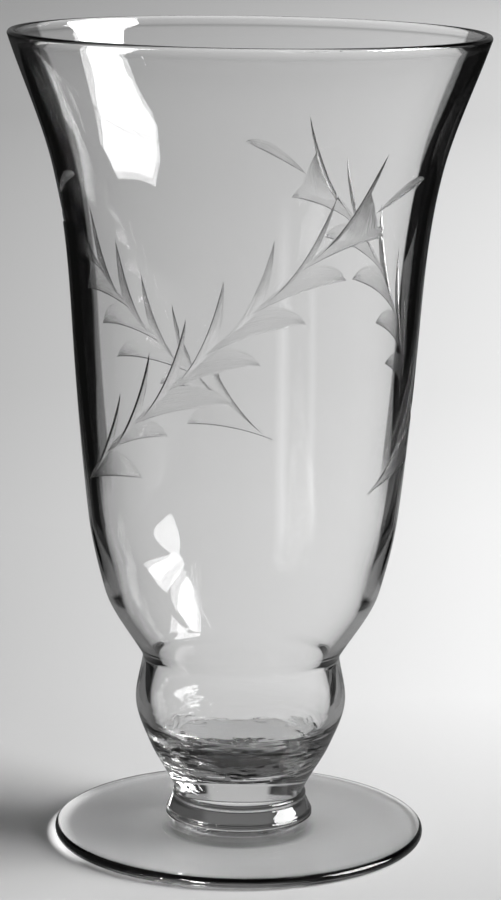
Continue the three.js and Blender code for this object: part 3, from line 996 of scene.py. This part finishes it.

# %% [markdown]
# ## The floor's painted light
# The floor of the photograph grows paler from left to right, towards the window. That is painted here as
# a fan of lines that meet near the camera's foot, as they run in the picture, and it stays there in every
# other view. The tone falls again close to the window, where the light itself is strong, and dips and
# lifts a little on its way back.

# %% Painted light on the floor
FAN_MEETS = 1
FAN_NEAREST = -0.3
FAN_EDGE = 0.078
LEFT_TONE = 0.53
RIGHT_TONE = 0.8
NEAR_WINDOW = (0.1, 0.5)
NEAR_WINDOW_DIP = 0.45
WINDOW_SIDE = (1.2, 4.5)
WINDOW_SIDE_DIP = 0.2
MIDDLE_FLOOR = (0.45, 0.8)
MIDDLE_DIP = 0.93
FAR_FLOOR = (2.4, 4.4)
FAR_LIFT = 1.33
# Painted light and shade: the fan pales the floor towards the window, and the dips and the lift follow how
# the window's light falls.
fan_far = math_node(floor_tree, "ADD", math_node(floor_tree, "MAXIMUM", floor_y, FAN_NEAREST), FAN_MEETS)
fan = math_node(floor_tree, "DIVIDE", floor_x, fan_far)
tone = product(
    floor_tree,
    ramp_node(floor_tree, fan, -FAN_EDGE, FAN_EDGE, LEFT_TONE, RIGHT_TONE),
    ramp_node(floor_tree, fan, *NEAR_WINDOW, 1, NEAR_WINDOW_DIP),
    ramp_node(floor_tree, floor_x, *WINDOW_SIDE, 1, WINDOW_SIDE_DIP),
    ramp_node(floor_tree, floor_y, *MIDDLE_FLOOR, 1, MIDDLE_DIP),
    ramp_node(floor_tree, floor_y, *FAR_FLOOR, 1, FAR_LIFT),
)
print("floor tone from", LEFT_TONE, "at the left to", RIGHT_TONE, "at the right")

# %% [markdown]
# ## Pale stripes
# Two soft upright stripes show in the bell. They may be light from between things that stand far away.
# Such things could be modelled, but the eye would then see them beside the vase as well, so the stripes
# are painted: two lines of the fan that only show through glass.

# %% Stripes behind the glass
STRIPES = ((0.0165, 0.004, 0.2), (0.0305, 0.003, 0.12))
STRIPES_START = (0.33, 0.4)
STRIPES_END = (1.1, 1.7)
stripes_on = product(
    floor_tree,
    ramp_node(floor_tree, floor_y, *STRIPES_START),
    ramp_node(floor_tree, floor_y, *STRIPES_END, 1, 0),
    through,
)
for bearing_there, half_width, stripe_lift in STRIPES:
    off_stripe = math_node(floor_tree, "ABSOLUTE", math_node(floor_tree, "SUBTRACT", fan, bearing_there))
    stripe = ramp_node(floor_tree, off_stripe, half_width, 0, 0, stripe_lift)
    stripe = math_node(floor_tree, "MULTIPLY", stripe, stripes_on)
    tone = math_node(floor_tree, "MULTIPLY", tone, math_node(floor_tree, "ADD", stripe, 1))
print(len(STRIPES), "stripes, from", STRIPES_START[0], "to", STRIPES_END[1], "m behind the vase")

# %% [markdown]
# ## Under the foot
# In front of the vase the floor is one even tone. In the photograph it is paler through the foot, where
# the clear disc may gather light from all sides, and darker under the collar. Both are painted here, as
# rings about the axis that only show through glass. The foot's is palest away from the window.

# %% Tone under the foot
NEAR_TONE = 0.53
NEAR_FLOOR = (0.16, -0.08)
COLLAR_RING = (0.02, 0.024)
FOOT_RING = (0.059, 0.056)
UNDER_FOOT = (0.85, 0.55)
UNDER_COLLAR = -0.2
foot_side = FOOT_RADIUS * MM
tone = blend(floor_tree, tone, NEAR_TONE, ramp_node(floor_tree, floor_y, *NEAR_FLOOR))
distance = off_axis(floor_tree, floor_x, floor_y)
off_collar = ramp_node(floor_tree, distance, *COLLAR_RING)
on_foot = ramp_node(floor_tree, distance, *FOOT_RING)
under_foot = ramp_node(floor_tree, floor_x, -foot_side, foot_side, *UNDER_FOOT)
gain = blend(floor_tree, UNDER_COLLAR, under_foot, off_collar)
gain = math_node(floor_tree, "ADD", product(floor_tree, gain, on_foot, through), 1)
tone = product(floor_tree, tone, gain, floor_mirrored)
print("the floor is", UNDER_FOOT[0], "paler through the foot's left and", UNDER_FOOT[1], "through its right")

# %% [markdown]
# ## A painted crescent of light
# A round glass edge gathers the window's light into a bright crescent on the table at the far side from
# the window. Here that light is painted: the floor glows in a thin ring along the foot's edge, kept to the
# left, and in a soft lift under the left of the foot that only shows through the glass.

# %% Painted crescent and lift
CRESCENT = 0.9
CRESCENT_INNER = (0.053, 0.058)
CRESCENT_OUTER = (0.0615, 0.059)
CRESCENT_SIDE = (-0.8, -0.95)
FOOT_LIFT = (0.2, 0.0)
# Painted light: the floor glows in a crescent at the foot's left edge and under the foot's left.
leftward = math_node(floor_tree, "DIVIDE", floor_x, distance)
crescent = product(
    floor_tree,
    ramp_node(floor_tree, distance, *CRESCENT_INNER),
    ramp_node(floor_tree, distance, *CRESCENT_OUTER),
    ramp_node(floor_tree, leftward, *CRESCENT_SIDE, 0, CRESCENT),
)
foot_lift = product(
    floor_tree,
    ramp_node(floor_tree, floor_x, -foot_side, 0, *FOOT_LIFT),
    off_collar,
    on_foot,
    through,
    floor_mirrored,
)
painted_glow_strength = math_node(floor_tree, "ADD", crescent, foot_lift)
print("crescent", round(1000 * (CRESCENT_OUTER[0] - CRESCENT_INNER[0]), 1), "mm wide")

# %% [markdown]
# ## Putting the floor together
# The painted tone becomes the paper's colour, the dark lies over it where the sheet ends, and the painted
# glow is added on top. The floor keeps the vase's real shadow, because the paper itself is a dull surface.

# %% Assemble the floor
DARK_FLOOR = 0.008
floor_colour = add_node(floor_tree, "ShaderNodeCombineColor")
for channel in ("Red", "Green", "Blue"):
    floor_tree.links.new(tone, floor_colour.inputs[channel])
floor_tree.links.new(floor_colour.outputs["Color"], floor_shader.inputs["Base Color"])
dark = add_node(floor_tree, "ShaderNodeEmission", inputs={"Color": (DARK_FLOOR, DARK_FLOOR, DARK_FLOOR, 1)})
floor_mix = add_node(floor_tree, "ShaderNodeMixShader")
floor_tree.links.new(shade, floor_mix.inputs["Fac"])
floor_tree.links.new(floor_shader.outputs["BSDF"], floor_mix.inputs[1])
floor_tree.links.new(dark.outputs["Emission"], floor_mix.inputs[2])
# The painted glow: an emission that adds the crescent and the lift under the foot.
painted_glow = add_node(floor_tree, "ShaderNodeEmission", inputs={"Color": (1, 1, 1, 1)})
floor_tree.links.new(painted_glow_strength, painted_glow.inputs["Strength"])
floor_sum = add_node(floor_tree, "ShaderNodeAddShader")
floor_tree.links.new(floor_mix.outputs["Shader"], floor_sum.inputs[0])
floor_tree.links.new(painted_glow.outputs["Emission"], floor_sum.inputs[1])
floor_tree.links.new(floor_sum.outputs["Shader"], floor_tree.nodes["Material Output"].inputs["Surface"])
print("floor material:", len(floor_tree.nodes), "nodes")

# %% [markdown]
# ## The room
# A clear vase shows the room more than itself. The eye sees a plain pale backdrop, and the light of the
# room is weak and even. Only rays from the glass see a room, which is a guess, set by comparing with the
# photograph: three rings of pale and dark, one low, one at the height of the furniture and one near the
# ceiling. Each stop is a bearing in degrees, 0 straight behind the vase, and a tone.

# %% Rings of the room
AMBIENT = 0.12
BACKDROP = 0.6
ROOM_RINGS = {
    "low": [
        (-100, 0.3), (-60, 0.35), (-22, 0.3), (-17, 0.5), (17, 0.5),
        (22, 0.3), (60, 0.25), (102, 0.25), (106, 0.12),
    ],
    "middle": [
        (-100, 0.25), (-90, 0.2), (-55, 0.3), (-47, 0.03), (-21, 0.03), (-17, 0.5),
        (19, 0.5), (22, 0.03), (84, 0.03), (90, 0.08), (100, 0.25),
    ],
    "high": [(-100, 0.15), (-80, 0.35), (80, 0.35), (100, 0.15)],
}
MIDDLE_FROM = (19, 21)
HIGH_FROM = (38, 44)
world = bpy.data.worlds.new("studio")
bpy.context.scene.world = world
world.use_nodes = True
world_tree = world.node_tree
sky = add_node(world_tree, "ShaderNodeTexCoord")
sky_split = add_node(world_tree, "ShaderNodeSeparateXYZ")
world_tree.links.new(sky.outputs["Generated"], sky_split.inputs["Vector"])
bearing = math_node(world_tree, "ARCTAN2", sky_split.outputs["X"], sky_split.outputs["Y"])
whole_turn = ramp_node(world_tree, bearing, -math.pi, math.pi)


def room_ring(stops):
    """A ring of the room as a colour ramp over the whole turn."""
    ramp = add_node(world_tree, "ShaderNodeValToRGB")
    world_tree.links.new(whole_turn, ramp.inputs["Fac"])
    elements = ramp.color_ramp.elements
    while len(elements) < len(stops):
        elements.new(0.5)
    for element, (degrees, ring_tone) in zip(elements, stops):
        element.position = (degrees + 180) / 360
        element.color = (ring_tone, ring_tone, ring_tone, 1)
    return ramp.outputs["Color"]


def above(lower, upper, span):
    """Changes from the lower ring to the upper one over a span of elevation in degrees."""
    low, high = (math.sin(math.radians(a)) for a in span)
    return blend(world_tree, lower, upper, ramp_node(world_tree, sky_split.outputs["Z"], low, high))


room_tone = above(room_ring(ROOM_RINGS["low"]), room_ring(ROOM_RINGS["middle"]), MIDDLE_FROM)
room_tone = above(room_tone, room_ring(ROOM_RINGS["high"]), HIGH_FROM)
room_tone = math_node(world_tree, "MULTIPLY", room_tone, mirrored_tone(world_tree))
print("room rings:", {name: len(stops) for name, stops in ROOM_RINGS.items()})

# %% Light and backdrop of the room
ambient = world_tree.nodes["Background"]
ambient.inputs["Color"].default_value = (1, 1, 1, 1)
ambient.inputs["Strength"].default_value = AMBIENT
room = add_node(world_tree, "ShaderNodeBackground", inputs={"Strength": 1.0})
world_tree.links.new(room_tone, room.inputs["Color"])
world_mix = add_node(world_tree, "ShaderNodeMixShader")
world_tree.links.new(seen_through_glass(world_tree), world_mix.inputs["Fac"])
world_tree.links.new(ambient.outputs["Background"], world_mix.inputs[1])
world_tree.links.new(room.outputs["Background"], world_mix.inputs[2])
backdrop = add_node(world_tree, "ShaderNodeBackground", inputs={"Strength": 1.0})
backdrop.inputs["Color"].default_value = (BACKDROP, BACKDROP, BACKDROP, 1)
straight = add_node(world_tree, "ShaderNodeLightPath")
world_view = add_node(world_tree, "ShaderNodeMixShader")
world_tree.links.new(straight.outputs["Is Camera Ray"], world_view.inputs["Fac"])
world_tree.links.new(world_mix.outputs["Shader"], world_view.inputs[1])
world_tree.links.new(backdrop.outputs["Background"], world_view.inputs[2])
world_tree.links.new(world_view.outputs["Shader"], world_tree.nodes["World Output"].inputs["Surface"])
print("ambient light", AMBIENT, "and backdrop", BACKDROP)

# %% [markdown]
# ## The window
# The bright patches in the bell and the bulb are a window at the right, mirrored in the glass. An area
# lamp gives only a plain rectangle or disc, so each pane is a flat mesh that glows, its corners given by
# bearing and elevation. The same panes light the floor and cast the vase's soft shadow.

# %% Window light
WINDOW_DISTANCE = 6
WINDOW_LIFT = 0.15
WINDOW_GLOW = 19
WINDOW_PANES = {
    "window_light": [
        (99, 30), (88, 31), (77, 31), (70, 28), (62, 25), (61, 14),
        (66, 10), (75, 10), (98, 8), (108, 10), (106, 22),
    ],
    "window_upper_pane": [(112, 33), (110, 46), (64, 44), (66, 34)],
}
glow, _, glow_shader = new_material("window_glow")
glow_shader.inputs["Base Color"].default_value = (0, 0, 0, 1)
glow_shader.inputs["Emission Color"].default_value = (1, 1, 1, 1)
glow_shader.inputs["Emission Strength"].default_value = WINDOW_GLOW


def towards(azimuth_deg, elevation_deg, distance):
    """A point seen from the vase at this azimuth (0 is the front, 90 the right) and elevation."""
    a, e = math.radians(azimuth_deg), math.radians(elevation_deg)
    return Vector((math.sin(a) * math.cos(e), -math.cos(a) * math.cos(e), math.sin(e))) * distance


for name, pane_corners in WINDOW_PANES.items():
    mesh = bpy.data.meshes.new(name)
    corners = [towards(a, e, WINDOW_DISTANCE) + Vector((0, 0, WINDOW_LIFT)) for a, e in pane_corners]
    mesh.from_pydata(corners, [], [list(range(len(corners)))])
    pane = bpy.data.objects.new(name, mesh)
    bpy.context.scene.collection.objects.link(pane)
    mesh.materials.append(glow)
    print(name, "has", len(corners), "corners,", WINDOW_DISTANCE, "m away")

# %% [markdown]
# ## View
# The Standard view shows colours as they are written.

# %% View settings
bpy.context.scene.view_settings.view_transform = "Standard"
